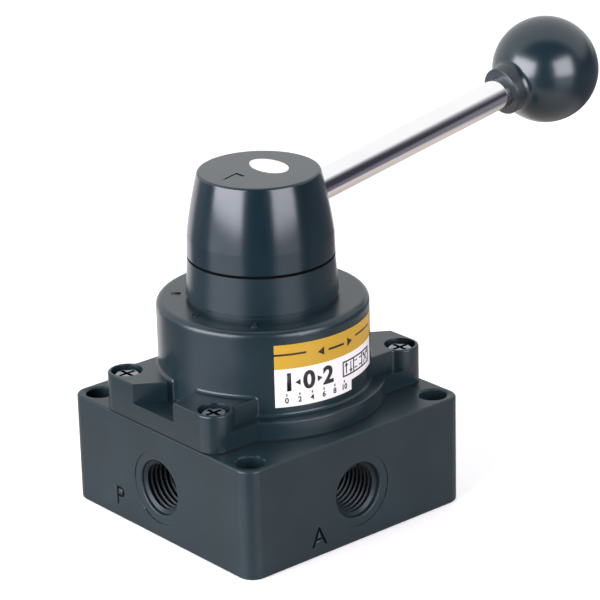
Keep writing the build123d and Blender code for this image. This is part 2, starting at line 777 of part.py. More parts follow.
# Ball knob: ball with a collar that flares into it, a mouth for the rod and a hollow for the insert
flare_centre = -sqrt((knob_radius + collar_flare_radius) ** 2 - (collar_radius + collar_flare_radius) ** 2)
flare_share = knob_radius / (knob_radius + collar_flare_radius)
flare_end_x = flare_centre * flare_share
flare_end_y = (collar_radius + collar_flare_radius) * flare_share
bend = (pi / 2 + asin((collar_radius + collar_flare_radius) / (knob_radius + collar_flare_radius))) / 2
with BuildPart() as ball_knob:
    with BuildSketch(lever_plane):
        with BuildLine():
            Line((collar_face, rod_radius + running_clearance), (collar_face, collar_radius))
            Line((collar_face, collar_radius), (knob_distance + flare_centre, collar_radius))
            ThreePointArc(
                (knob_distance + flare_centre, collar_radius),
                (
                    knob_distance + flare_centre + collar_flare_radius * cos(bend),
                    collar_radius + collar_flare_radius - collar_flare_radius * sin(bend),
                ),
                (knob_distance + flare_end_x, flare_end_y),
            )
            ThreePointArc(
                (knob_distance + flare_end_x, flare_end_y),
                (knob_distance, knob_radius),
                (knob_distance + knob_radius, 0),
            )
            Polyline(
                (knob_distance + knob_radius, 0),
                (insert_face + insert_length + seat_clearance, 0),
                (insert_face + insert_length + seat_clearance, insert_radius + seat_clearance),
                (insert_face - seat_clearance, insert_radius + seat_clearance),
                (insert_face - seat_clearance, rod_radius + running_clearance),
                (collar_face, rod_radius + running_clearance),
            )
        make_face()
    revolve(axis=lever_axis)
ball_knob.part.label = "ball_knob"
export_step(ball_knob.part, "parts/ball_knob.step")

# Knob insert: threaded brass sleeve in the ball
with BuildPart() as knob_insert:
    with BuildSketch(lever_plane):
        with BuildLine():
            Polyline(
                (insert_face, rod_spigot_radius + seat_clearance),
                (insert_face, insert_radius),
                (insert_face + insert_length, insert_radius),
                (insert_face + insert_length, 0),
                (insert_face + rod_thread_length + seat_clearance, 0),
                (insert_face + rod_thread_length + seat_clearance, rod_spigot_radius + seat_clearance),
                close=True,
            )
        make_face()
    revolve(axis=lever_axis)
knob_insert.part.label = "knob_insert"
export_step(knob_insert.part, "parts/knob_insert.step")
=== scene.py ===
"""Looks for a hand lever air valve: finishes for its CAD pieces, and the modelled pieces that dress them.

Sizes are in millimetres and are turned to metres by MM. The valve stands on z = 0 with its spindle on the Z axis,
and its lever points to +X in the middle position.
"""
from __future__ import annotations

import logging
from collections.abc import Iterator
from contextlib import contextmanager
from dataclasses import dataclass
from enum import Enum
from math import asin, atan2, cos, pi, radians, sin, sqrt
from typing import Any

import bpy
from mathutils import Matrix, Vector

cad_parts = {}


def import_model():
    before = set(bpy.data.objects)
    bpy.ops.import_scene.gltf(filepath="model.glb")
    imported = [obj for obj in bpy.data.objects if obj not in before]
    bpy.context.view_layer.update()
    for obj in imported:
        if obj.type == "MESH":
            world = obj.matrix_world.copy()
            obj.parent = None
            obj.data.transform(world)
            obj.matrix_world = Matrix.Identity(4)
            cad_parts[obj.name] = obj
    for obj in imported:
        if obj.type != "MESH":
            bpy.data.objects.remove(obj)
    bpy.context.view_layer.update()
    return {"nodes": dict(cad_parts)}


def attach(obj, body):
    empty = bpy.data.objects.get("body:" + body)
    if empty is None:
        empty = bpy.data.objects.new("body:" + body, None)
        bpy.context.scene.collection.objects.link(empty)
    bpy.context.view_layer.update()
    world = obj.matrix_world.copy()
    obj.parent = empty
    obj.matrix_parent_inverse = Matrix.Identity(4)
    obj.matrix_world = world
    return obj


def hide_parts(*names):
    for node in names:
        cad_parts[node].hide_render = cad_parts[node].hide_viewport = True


MM = 0.001
# Height of a capital letter against the font's size
CAPITAL_SHARE = 0.73
# Levels of the colour noise between which the first colour turns into the second
PATCH_EDGES = (0.35, 0.72)
# Least and most roughness in the relief, as a share of the finish's roughness
ROUGHNESS_SWING = (0.9, 1.1)
COAT_ROUGHNESS = 0.08
# Angles past which two faces meet in a sharp edge
SHARP_EDGE = radians(30)
SHARP_THREAD_EDGE = radians(35)
# Share of a face's normal along one axis from which the face counts as square to it
FLAT = 0.99999
LOG = logging.getLogger("air_valve")

Object = bpy.types.Object
Material = bpy.types.Material
Point = tuple[float, float, float]
Spot = tuple[float, float]
Span = tuple[float, float]


def linear(code: str) -> tuple[float, float, float, float]:
    """Turns an sRGB hex colour into linear values.

    Args:
        code: Six hex digits, with or without a leading hash.

    Returns:
        Linear red, green, blue and an alpha of one.
    """
    digits = code.lstrip("#")
    parts = [int(digits[i:i + 2], 16) / 255 for i in (0, 2, 4)]
    red, green, blue = [c / 12.92 if c <= 0.04045 else ((c + 0.055) / 1.055) ** 2.4 for c in parts]
    return (red, green, blue, 1.0)


def add_node(tree: Any, kind: str, inputs: dict[Any, Any] | None = None, **settings: Any) -> Any:
    """Adds one node to a material or world.

    Args:
        tree: The node tree that gets the node.
        kind: The node's type name without the ShaderNode prefix.
        inputs: Values or output sockets by input name or number.
        settings: Properties of the node itself.

    Returns:
        The new node.
    """
    made = tree.nodes.new("ShaderNode" + kind)
    for name, value in settings.items():
        setattr(made, name, value)
    for key, value in (inputs or {}).items():
        if isinstance(value, bpy.types.NodeSocket):
            tree.links.new(value, made.inputs[key])
        else:
            made.inputs[key].default_value = value
    return made


def clear_tree(owner: Material | bpy.types.World) -> Any:
    """Gives a material's or world's node tree, emptied."""
    owner.use_nodes = True
    owner.node_tree.nodes.clear()
    return owner.node_tree


class Relief(Enum):
    """How a surface was made, which sets the shape of its fine relief."""

    SPRAYED = "orange peel of a sprayed coat"
    CAST = "grain of a die casting"
    POLISHED = "no relief but faint wiping marks"
    DRAWN = "fine lines along the bar"
    TURNED = "fine rings round the axis"
    MOULDED = "slight waviness of a moulding"


@dataclass(frozen=True)
class Finish:
    """A finish: one real material, as its surface was made.

    Attributes:
        name: Name of the material in plain words.
        colour: Main colour as sRGB hex.
        second: Colour of the faint variation, as sRGB hex.
        roughness: Roughness of the surface.
        metallic: One for bare metal, zero for the rest.
        relief: How the surface was made.
        grain: Size of the relief's pattern.
        depth: Depth of the relief.
        patch: Size of the colour variation.
        coat: Strength of a clear coat.
        ior: Index of refraction, which metals leave at its default.
        tint: Linear tint of the reflection, white for most finishes.
        joint: Height of a joint's dark line, below zero for none.
        joint_width: Width of that line.
    """

    name: str
    colour: str
    second: str
    roughness: float
    metallic: float = 0.0
    relief: Relief = Relief.MOULDED
    grain: float = 1.0
    depth: float = 0.01
    patch: float = 12.0
    coat: float = 0.0
    ior: float = 1.5
    tint: Point = (1.0, 1.0, 1.0)
    joint: float = -1.0
    joint_width: float = 0.5

    def stretch(self) -> Point:
        """Gives how far the relief's pattern is stretched along each axis."""
        if self.relief is Relief.DRAWN:
            return (0.04, 1.0, 1.0)
        if self.relief is Relief.TURNED:
            return (0.08, 0.08, 1.0)
        return (1.0, 1.0, 1.0)

    def build(self) -> Material:
        """Makes the node material.

        Returns:
            The finished material.
        """
        material = bpy.data.materials.new(self.name)
        tree = clear_tree(material)
        place = add_node(tree, "TexCoord").outputs["Object"]
        drawn = add_node(tree, "Mapping", {"Vector": place, "Scale": self.stretch()}).outputs[0]
        patches = add_node(tree, "TexNoise", {"Vector": place, "Scale": 1 / (self.patch * MM), "Detail": 3.0})
        grain = add_node(tree, "TexNoise", {"Vector": drawn, "Scale": 1 / (self.grain * MM), "Detail": 2.0})
        blend = add_node(tree, "ValToRGB", {"Fac": patches.outputs["Fac"]})
        for stop, share, code in zip(blend.color_ramp.elements, PATCH_EDGES, (self.colour, self.second)):
            stop.position = share
            stop.color = linear(code)
        low, high = [self.roughness * share for share in ROUGHNESS_SWING]
        rough = add_node(tree, "MapRange", {"Value": grain.outputs["Fac"], "To Min": low, "To Max": high})
        bump = add_node(
            tree, "Bump", {"Height": grain.outputs["Fac"], "Distance": self.depth * MM, "Strength": 1.0}
        )
        colour, roughness = blend.outputs["Color"], rough.outputs["Result"]
        if self.joint >= 0:
            height = add_node(tree, "SeparateXYZ", {"Vector": place}).outputs["Z"]
            line = add_node(
                tree, "Math", {0: height, 1: self.joint * MM, 2: self.joint_width / 2 * MM}, operation="COMPARE"
            ).outputs[0]
            colour = add_node(
                tree, "Mix", {"Factor": line, "A": colour, "B": (0.0, 0.0, 0.0, 1.0)}, data_type="RGBA"
            ).outputs["Result"]
            roughness = add_node(tree, "Math", {0: roughness, 1: line}, operation="MAXIMUM").outputs[0]
        shader = add_node(tree, "BsdfPrincipled", {
            "Base Color": colour, "Roughness": roughness, "Normal": bump.outputs["Normal"],
            "Metallic": self.metallic, "IOR": self.ior, "Specular Tint": (*self.tint, 1.0),
            "Coat Weight": self.coat, "Coat Roughness": COAT_ROUGHNESS,
        })
        add_node(tree, "OutputMaterial", {"Surface": shader.outputs["BSDF"]})
        return material


@dataclass(frozen=True)
class PrintedFilm:
    """Self-adhesive polyester film: a yellow band over white, with two black rules, under a satin laminate.

    Attributes:
        name: Name of the material.
        white: Colour of the unprinted film.
        yellow: Colour of the band.
        ink: Colour of the rules.
        band_from: Height at which the band starts.
        rule_height: Height of the rules' centre line.
        rule_width: Width of the rules.
        rule_edges: Where each rule starts and ends along X.
        roughness: Roughness of the laminate.
        ior: Its index of refraction.
    """

    name: str = "printed_polyester_film"
    white: str = "#e9e8ea"
    yellow: str = "#bc962f"
    ink: str = "#2b2418"
    band_from: float = 43.1
    rule_height: float = 46.6
    rule_width: float = 0.5
    rule_edges: tuple[Span, Span] = ((-14.5, -7.4), (7.4, 14.5))
    roughness: float = 0.36
    ior: float = 1.45

    def build(self) -> Material:
        """Makes the node material.

        Returns:
            The finished material.
        """
        material = bpy.data.materials.new(self.name)
        tree = clear_tree(material)
        place = add_node(tree, "TexCoord").outputs["Object"]
        split = add_node(tree, "SeparateXYZ", {"Vector": place})
        across, height = split.outputs["X"], split.outputs["Z"]
        band = add_node(tree, "Math", {0: height, 1: self.band_from * MM}, operation="GREATER_THAN").outputs[0]
        film = add_node(
            tree, "Mix", {"Factor": band, "A": linear(self.white), "B": linear(self.yellow)}, data_type="RGBA"
        ).outputs["Result"]
        near = add_node(
            tree, "Math", {0: height, 1: self.rule_height * MM, 2: self.rule_width * MM / 2}, operation="COMPARE"
        ).outputs[0]
        left, right = [
            add_node(
                tree, "Math", {0: across, 1: (start + end) / 2 * MM, 2: (end - start) / 2 * MM}, operation="COMPARE"
            ).outputs[0]
            for start, end in self.rule_edges
        ]
        inside = add_node(tree, "Math", {0: left, 1: right}, operation="MAXIMUM").outputs[0]
        rule = add_node(tree, "Math", {0: near, 1: inside}, operation="MULTIPLY").outputs[0]
        printed = add_node(
            tree, "Mix", {"Factor": rule, "A": film, "B": linear(self.ink)}, data_type="RGBA"
        ).outputs["Result"]
        shader = add_node(
            tree, "BsdfPrincipled", {"Base Color": printed, "Roughness": self.roughness, "IOR": self.ior}
        )
        add_node(tree, "OutputMaterial", {"Surface": shader.outputs["BSDF"]})
        return material


# Painted die-cast aluminium: a satin slate coat with a faint orange peel that softens the lamps' reflection
SLATE_TINT = (0.90, 0.94, 1.0)
BODY_PAINT = Finish(
    "satin_slate_paint_body", "#14252b", "#192a31", 0.38, relief=Relief.SPRAYED, grain=1.1, depth=0.005,
    ior=1.46, tint=SLATE_TINT,
)
BONNET_PAINT = Finish(
    "satin_slate_paint_cast", "#122329", "#17282f", 0.29, relief=Relief.CAST, grain=1.0, depth=0.004,
    ior=1.52, tint=SLATE_TINT, joint=27.15, joint_width=0.4,
)
HUB_PAINT = Finish(
    "satin_slate_paint_hub", "#0d1f26", "#102229", 0.2, relief=Relief.SPRAYED, grain=0.9, depth=0.0015,
    ior=1.6, tint=SLATE_TINT,
)
# Chrome-plated steel bar: a mirror with faint lines along its length from drawing
CHROME = Finish(
    "chrome_plated_steel", "#fbfbfc", "#f6f6f8", 0.05, metallic=1.0, relief=Relief.DRAWN, grain=0.25, depth=0.0004
)
# Phenolic ball and its collar: moulded in slate, tumbled to a soft sheen
PHENOLIC = Finish("tumbled_phenolic", "#0f2027", "#12242b", 0.25, grain=5.0, depth=0.003, ior=1.7, tint=SLATE_TINT)
COLLAR_EDGE = Finish(
    "tumbled_phenolic_collar", "#1f282e", "#272f35", 0.38, grain=1.5, depth=0.02, patch=3.0, ior=1.55
)
# Zinc-plated steel, passivated to a blue grey, its colour made darker as painted shade of the screw heads sunk in
# their recesses
DARKENED_ZINC = Finish(
    "zinc_plated_steel_with_painted_shade", "#989ca2", "#7b8087", 0.12, metallic=1.0, relief=Relief.TURNED, grain=0.2, depth=0.001
)
# Ground and turned steels inside the valve
GROUND_STEEL = Finish(
    "ground_steel", "#a9acae", "#9da1a4", 0.22, metallic=1.0, relief=Relief.TURNED, grain=0.15, depth=0.002
)
LAPPED_STEEL = Finish(
    "lapped_stainless", "#b8babb", "#aeb1b3", 0.12, metallic=1.0, relief=Relief.POLISHED, grain=0.1, depth=0.001
)
SPRING_STEEL = Finish(
    "blued_spring_steel", "#565c66", "#6d6a5c", 0.3, metallic=1.0, relief=Relief.DRAWN, grain=0.3, depth=0.002
)
BEARING_STEEL = Finish(
    "polished_bearing_steel", "#c4c6c8", "#bbbec0", 0.08, metallic=1.0, relief=Relief.POLISHED, depth=0.0005
)
# Copper alloys: porous sintered bronze, and bright turned brass
SINTERED_BRONZE = Finish(
    "sintered_bronze", "#9a7442", "#80603a", 0.5, metallic=1.0, relief=Relief.CAST, grain=0.12, depth=0.01
)
TURNED_BRASS = Finish(
    "turned_brass", "#c8a457", "#b89448", 0.25, metallic=1.0, relief=Relief.TURNED, grain=0.2, depth=0.003
)
# Near-black rubber that gives back almost no light, for the lip at the hub's seam: painted shade of the seam
SEAM_SHADE_RUBBER = Finish("black_seam_shade_rubber", "#030304", "#050506", 0.9, grain=0.3, depth=0.005, ior=1.15)
# Rubber and plastics: matt nitrile, waxy acetal and a filled slide plastic
NITRILE = Finish("nitrile_rubber", "#16171a", "#1c1d20", 0.75, grain=0.3, depth=0.01)
ACETAL = Finish("turned_acetal", "#dcdcd4", "#d2d2ca", 0.4, relief=Relief.TURNED, grain=0.3, depth=0.004, ior=1.48)
SLIDE_PLASTIC = Finish("filled_slide_plastic", "#b9b39c", "#a8a28c", 0.5, grain=0.5, depth=0.006)
# Stove enamel on the oval badge
ENAMEL = Finish("white_enamel", "#f2f2f1", "#ececeb", 0.25, grain=2.0, depth=0.003, coat=0.3)
# Tapped threads take a thin, dull coat, made darker than the body's paint as painted shade deep in the ports
DARKENED_THREAD_PAINT = Finish(
    "slate_paint_on_thread_with_port_shade", "#0c1a20", "#112027", 0.42, relief=Relief.SPRAYED, grain=0.6, depth=0.006,
    ior=1.4, tint=SLATE_TINT,
)
# Recessed letters: their walls and floors get a near-black coat, painted shade of the recess
RECESS_SHADE_PAINT = Finish(
    "painted_shade_in_letter_recess", "#060b0e", "#0a1013", 0.55, relief=Relief.SPRAYED, grain=0.4, depth=0.01, ior=1.2
)
# Printing ink on the label
PRINT_INK = Finish("printing_ink", "#17181b", "#1d1e21", 0.4, relief=Relief.POLISHED, grain=0.5, depth=0.001)

FINISHED_NODES: tuple[tuple[Finish | PrintedFilm, tuple[str, ...]], ...] = (
    (BODY_PAINT, ("valve_body",)),
    (BONNET_PAINT, ("bonnet",)),
    (HUB_PAINT, ("hub",)),
    (ENAMEL, ("hub_badge",)),
    (PrintedFilm(), ("name_label",)),
    # The zinc's darker colour stands in for the sunk heads' shade: painted shade
    (DARKENED_ZINC, ("cover_screws", "lock_washers")),
    (CHROME, ("lever_rod",)),
    (PHENOLIC, ("ball_knob",)),
    (TURNED_BRASS, ("knob_insert",)),
    (GROUND_STEEL, ("spindle", "seat_dowels", "drive_pin", "stop_pin")),
    (LAPPED_STEEL, ("seat_plate",)),
    (SPRING_STEEL, ("disc_springs", "detent_springs", "retaining_ring")),
    (BEARING_STEEL, ("detent_balls",)),
    (SINTERED_BRONZE, ("spindle_bush",)),
    (SLIDE_PLASTIC, ("thrust_washer",)),
    (ACETAL, ("rotor_disc",)),
    (NITRILE, ("port_seals", "body_seal", "spindle_seals")),
)


class Bench:
    """Keeps the materials made so far and dresses pieces with them."""

    def __init__(self) -> None:
        """Starts with no materials."""
        self.made: dict[str, Material] = {}

    def material(self, finish: Finish | PrintedFilm) -> Material:
        """Gives the material of a finish, and makes it the first time."""
        if finish.name not in self.made:
            self.made[finish.name] = finish.build()
        return self.made[finish.name]

    def dress_node(self, item: Object, finish: Finish | PrintedFilm) -> None:
        """Gives a CAD node its finish."""
        for slot in item.material_slots:
            slot.material = self.material(finish)

    def dress_piece(self, item: Object, finish: Finish | PrintedFilm, body: str) -> None:
        """Gives a modelled piece its finish and lets it ride on a body.

        Args:
            item: The modelled piece.
            finish: The finish that it gets.
            body: The CAD body that carries it.
        """
        item.data.materials.clear()
        item.data.materials.append(self.material(finish))
        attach(item, body)
        LOG.info("%s rides on %s", item.name, body)


def deselect() -> None:
    """Deselects every object."""
    bpy.ops.object.select_all(action="DESELECT")


def activate(item: Object) -> None:
    """Makes one object the only selected and active one."""
    deselect()
    item.select_set(True)
    bpy.context.view_layer.objects.active = item


@contextmanager
def editing(item: Object) -> Iterator[None]:
    """Opens a piece in edit mode with all of it selected, and closes it afterwards."""
    activate(item)
    bpy.ops.object.mode_set(mode="EDIT")
    bpy.ops.mesh.select_all(action="SELECT")
    yield
    bpy.ops.object.mode_set(mode="OBJECT")


def apply_modifiers(item: Object) -> None:
    """Applies an object's modifiers in order."""
    activate(item)
    for modifier in list(item.modifiers):
        bpy.ops.object.modifier_apply(modifier=modifier.name)


def settle(item: Object, turn: Matrix | None = None) -> None:
    """Moves a piece to its place and applies that, so that the object sits at the origin.

    Args:
        item: The modelled piece.
        turn: The placing matrix, or nothing for a piece that is in place.
    """
    activate(item)
    if turn is not None:
        item.matrix_world = turn @ item.matrix_world
    bpy.ops.object.transform_apply(location=True, rotation=True, scale=True)


def draw_line(name: str, points: list[Spot]) -> Object:
    """Draws an open line in the XZ plane, point by point, by extruding one vertex.

    Args:
        name: Name of the new object.
        points: X and Z of each point in millimetres.

    Returns:
        The object with the line.
    """
    deselect()
    first = points[0]
    bpy.ops.mesh.primitive_plane_add(size=MM, location=(first[0] * MM, 0, first[1] * MM))
    item = bpy.context.object
    item.name = name
    bpy.ops.object.transform_apply(location=True, rotation=True, scale=True)
    with editing(item):
        bpy.ops.mesh.merge(type="CENTER")
        for before, after in zip(points, points[1:]):
            step = ((after[0] - before[0]) * MM, 0, (after[1] - before[1]) * MM)
            bpy.ops.mesh.extrude_region_move(TRANSFORM_OT_translate={"value": step})
    return item


def lathe(name: str, points: list[Spot], steps: int = 128) -> Object:
    """Turns a profile round the Z axis, as on a lathe.

    Args:
        name: Name of the new object.
        points: Radius and height of each profile point in millimetres, from the lower end to the upper.
        steps: Number of faces round the axis.

    Returns:
        The turned piece, smooth except at its sharp edges.
    """
    item = draw_line(name, points)
    with editing(item):
        bpy.ops.mesh.spin(steps=steps, angle=2 * pi, center=(0, 0, 0), axis=(0, 0, 1))
        bpy.ops.mesh.select_all(action="SELECT")
        bpy.ops.mesh.remove_doubles(threshold=0.002 * MM)
        bpy.ops.mesh.normals_make_consistent(inside=False)
    activate(item)
    bpy.ops.object.shade_smooth_by_angle(angle=SHARP_EDGE)
    return item


def copy_welded(node: Object, name: str) -> Object:
    """Copies a CAD node and welds the copy's loose triangles.

    Args:
        node: The CAD node's object.
        name: Name of the copy.

    Returns:
        The welded copy.
    """
    item = node.copy()
    item.data = node.data.copy()
    item.name = name
    bpy.context.scene.collection.objects.link(item)
    with editing(item):
        bpy.ops.mesh.remove_doubles(threshold=0.0005 * MM)
    return item


def arc_points(centre: Spot, radius: float, start: float, end: float, steps: int) -> list[Spot]:
    """Gives points on an arc.

    Args:
        centre: Centre of the arc.
        radius: Radius of the arc.
        start: First angle in degrees.
        end: Last angle in degrees.
        steps: Number of steps from the first to the last.

    Returns:
        The points, both ends included.
    """
    turns = [radians(start + (end - start) * i / steps) for i in range(steps + 1)]
    return [(centre[0] + radius * cos(t), centre[1] + radius * sin(t)) for t in turns]


def sign(name: str, words: str, height: float, thickness: float, bold: float = 0.0) -> Object:
    """Cuts a sign out of sheet, flat on the XY plane and centred.

    Args:
        name: Name of the new object.
        words: What it says.
        height: Height of a capital letter in millimetres.
        thickness: Thickness of the sheet in millimetres.
        bold: How far the outline is spread, as a share of the letter's size.

    Returns:
        The sign as a mesh.
    """
    deselect()
    bpy.ops.object.text_add(location=(0, 0, 0))
    item = bpy.context.object
    item.name = name
    item.data.body = words
    item.data.align_x = "CENTER"
    item.data.align_y = "CENTER"
    item.data.size = height * MM / CAPITAL_SHARE
    item.data.extrude = thickness / 2 * MM
    item.data.offset = bold * item.data.size
    item.data.resolution_u = 6
    activate(item)
    bpy.ops.object.convert(target="MESH")
    return bpy.context.object


@dataclass
class Lever:
    """The chrome rod and its ball knob, on the slanted lever axis.

    Attributes:
        axis_height: Height at which the rod's axis meets the spindle's axis.
        slant: Upward slant of the rod in degrees.
        rod_radius: Radius of the rod.
        rod_start: Where the modelled rod starts, inside the hub.
        chamfer: Chamfer at the rod's outer end.
        knob_distance: From the spindle's axis to the ball's centre.
        knob_radius: Radius of the ball.
        collar_radius: Radius of the collar.
        collar_reach: From the ball's centre to the collar's face.
        flare_radius: Radius of the flare between collar and ball.
        rim_radius: Rounding of the collar's rim.
        dull_share: How much of the flare, from its start, is as dull as the collar.
        mouth_depth: How far the rod goes into the collar's mouth.
        mouth_gap: Gap round the rod in the mouth.
    """

    axis_height: float = 71.2
    slant: float = 9.8
    rod_radius: float = 3.8
    rod_start: float = 9.6
    chamfer: float = 0.3
    knob_distance: float = 94.7
    knob_radius: float = 13.25
    collar_radius: float = 5.95
    collar_reach: float = 15.6
    flare_radius: float = 2.1
    rim_radius: float = 0.35
    dull_share: float = 0.15
    mouth_depth: float = 0.9
    mouth_gap: float = 0.03

    def place(self) -> Matrix:
        """Gives the matrix that lays a piece turned round Z on the lever's axis."""
        lift = Matrix.Translation((0, 0, self.axis_height * MM))
        return lift @ Matrix.Rotation(pi / 2 - radians(self.slant), 4, "Y")

    def rod(self) -> Object:
        """Models the rod, with a chamfer at each end."""
        end = self.knob_distance - self.collar_reach + self.mouth_depth
        face = self.rod_radius - self.chamfer
        points = [(0, self.rod_start), (face, self.rod_start), (self.rod_radius, self.rod_start + self.chamfer),
                  (self.rod_radius, end - self.chamfer), (face, end), (0, end)]
        item = lathe("polished_rod", points)
        settle(item, self.place())
        return item

    def flare(self) -> tuple[float, float, float]:
        """Gives the flare's centre, as a radius and a distance along the lever, and its angle on the ball."""
        far, rise = self.knob_radius + self.flare_radius, self.collar_radius + self.flare_radius
        return rise, self.knob_distance - sqrt(far**2 - rise**2), asin(rise / far) * 180 / pi

    def knob(self) -> Object:
        """Models the ball with the collar that flares into it."""
        rise, along, turn = self.flare()
        start = self.knob_distance - self.collar_reach
        mouth, edge = self.rod_radius + self.mouth_gap, self.collar_radius - self.rim_radius
        points = [(0.0, start + self.mouth_depth), (mouth, start + self.mouth_depth), (mouth, start), (edge, start)]
        points += arc_points((edge, start + self.rim_radius), self.rim_radius, -60, 0, 3)
        points += arc_points((rise, along), self.flare_radius, 180, 90 + turn, 10)
        points += arc_points((0, self.knob_distance), self.knob_radius, -90 + turn, 90, 60)
        points[-1] = (0, self.knob_distance + self.knob_radius)
        item = lathe("gloss_ball", points, steps=144)
        settle(item, self.place())
        return item

    def dull_collar(self, knob: Object, bench: Bench) -> None:
        """Gives the collar and its flare the duller finish that the tumbling barrel leaves there.

        Args:
            knob: The ball with its collar.
            bench: The bench that holds the materials.
        """
        knob.data.materials.append(bench.material(COLLAR_EDGE))
        along = Vector((cos(radians(self.slant)), 0, sin(radians(self.slant))))
        foot = Vector((0, 0, self.axis_height * MM))
        limit = (self.flare()[1] + self.dull_share * self.flare_radius) * MM
        for face in knob.data.polygons:
            face.material_index = int((face.center - foot).dot(along) < limit)

    def build(self, bench: Bench) -> None:
        """Models and dresses the lever's pieces."""
        rod = self.rod()
        bench.dress_piece(rod, CHROME, "rotor")
        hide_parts("lever_rod")
        knob = self.knob()
        bench.dress_piece(knob, PHENOLIC, "rotor")
        self.dull_collar(knob, bench)
        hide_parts("ball_knob")


@dataclass
class Ports:
    """The pipe threads in the four side ports, and the cast letters beside them.

    Attributes:
        axis_height: Height of the port axes.
        wall_radius: Radius of the plain bore, the thread's major radius.
        crest_radius: Radius of the thread's crests.
        pitch: Thread pitch.
        face: Distance of the side face from the centre.
        recess: Depth of the spot face.
        turns: Number of thread turns.
        turn_steps: Number of faces round one turn.
        root_share: Half width of the ridge at its root, as a share of the pitch.
        crest_share: Half width of its crest, as a share of the pitch.
        root_sink: How far the ridge's root goes into the wall.
        first_turn: Where the thread starts below the spot face, as a share of the pitch.
        letter_height: Height of the letters.
        letter_depth: How deep the letters are sunk.
        letter_places: Each letter with its face's angle, its place to the right and its height.
    """

    axis_height: float = 12.7
    wall_radius: float = 6.58
    crest_radius: float = 5.74
    pitch: float = 1.337
    face: float = 33.0
    recess: float = 0.15
    turns: int = 10
    turn_steps: int = 48
    root_share: float = 0.47
    crest_share: float = 0.07
    root_sink: float = 0.03
    first_turn: float = 0.75
    letter_height: float = 5.0
    letter_depth: float = 0.4
    letter_places: tuple[tuple[str, float, float, float], ...] = (
        ("P", 180, -15.0, 5.6), ("A", 270, -12.4, 4.8), ("R", 0, -15.0, 5.6), ("B", 90, -12.4, 4.8),
    )

    def thread(self, name: str, turn: float) -> Object:
        """Models one internal thread as a ridge wound round the bore.

        Args:
            name: Name of the piece.
            turn: Angle of the port round Z in degrees.

        Returns:
            The thread ridge.
        """
        half = self.pitch * self.root_share
        crest = self.pitch * self.crest_share
        root = self.wall_radius + self.root_sink
        profile = [(root, -half), (self.crest_radius, -crest), (self.crest_radius, crest), (root, half)]
        item = draw_line(name, profile)
        with editing(item):
            bpy.ops.mesh.edge_face_add()
        screw = item.modifiers.new("wind", "SCREW")
        screw.axis = "Z"
        screw.screw_offset = -self.pitch * MM
        screw.iterations = self.turns
        screw.steps = self.turn_steps
        screw.render_steps = self.turn_steps
        apply_modifiers(item)
        with editing(item):
            bpy.ops.mesh.normals_make_consistent(inside=False)
        activate(item)
        bpy.ops.object.shade_smooth_by_angle(angle=SHARP_THREAD_EDGE)
        reach = self.face - self.recess - self.first_turn * self.pitch
        mouth = Matrix.Translation((reach * MM, 0, self.axis_height * MM))
        start = Matrix.Rotation(pi, 4, "Z")
        settle(item, Matrix.Rotation(radians(turn), 4, "Z") @ mouth @ Matrix.Rotation(pi / 2, 4, "Y") @ start)
        return item

    def letter(self, words: str, turn: float, across: float, height: float) -> Object:
        """Makes the stamp that sinks one port letter into a side face.

        Args:
            words: The letter.
            turn: Angle of the face round Z in degrees.
            across: Distance to the right of the face's middle, seen from outside.
            height: Height of the letter's centre.

        Returns:
            The stamp, half in the body.
        """
        item = sign("stamp_" + words, words, self.letter_height, 2 * self.letter_depth)
        stand = Matrix.Rotation(pi / 2, 4, "Z") @ Matrix.Rotation(pi / 2, 4, "X")
        spot = Matrix.Translation((self.face * MM, across * MM, height * MM))
        settle(item, Matrix.Rotation(radians(turn), 4, "Z") @ spot @ stand)
        return item

    def lettered_body(self, bench: Bench, block: Object) -> Object:
        """Sinks the port letters into a copy of the valve body, and keeps the shading of its flat faces even.

        Args:
            bench: The bench that holds the materials.
            block: The valve body's CAD piece.

        Returns:
            The body with its letters.
        """
        body = copy_welded(block, "lettered_body")
        body.data.materials.clear()
        body.data.materials.append(bench.material(BODY_PAINT))
        for words, turn, across, height in self.letter_places:
            stamp = self.letter(words, turn, across, height)
            # The stamp's near-black material passes to the letter's walls and floor: painted shade of the recess
            stamp.data.materials.append(bench.material(RECESS_SHADE_PAINT))
            cut = body.modifiers.new("sink_" + words, "BOOLEAN")
            cut.operation = "DIFFERENCE"
            cut.solver = "EXACT"
            cut.material_mode = "TRANSFER"
            cut.object = stamp
            apply_modifiers(body)
            activate(stamp)
            bpy.ops.object.delete()
        activate(body)
        bpy.ops.object.shade_smooth_by_angle(angle=SHARP_EDGE)
        for face in body.data.polygons:
            face.select = max(abs(n) for n in face.normal) > FLAT
        bpy.context.tool_settings.mesh_select_mode = (False, False, True)
        bpy.ops.object.mode_set(mode="EDIT")
        bpy.ops.mesh.mod_weighted_strength(set=True, face_strength="STRONG")
        bpy.ops.object.mode_set(mode="OBJECT")
        bpy.context.tool_settings.mesh_select_mode = (True, False, False)
        even = body.modifiers.new("flat_faces", "WEIGHTED_NORMAL")
        even.weight = 100
        even.use_face_influence = True
        even.keep_sharp = True
        apply_modifiers(body)
        return body

    def build(self, bench: Bench, block: Object) -> None:
        """Models and dresses the threads and the lettered body.

        Args:
            bench: The bench that holds the materials.
            block: The valve body's CAD piece.
        """
        for name, turn in (("plus_x", 0), ("plus_y", 90), ("minus_x", 180), ("minus_y", 270)):
            item = self.thread("thread_" + name, turn)
            # Thread paint darker than the body's: painted shade inside the ports
            bench.dress_piece(item, DARKENED_THREAD_PAINT, "housing")
        body = self.lettered_body(bench, block)
        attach(body, "housing")
        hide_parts("valve_body")
        LOG.info("%s rides on housing", body.name)


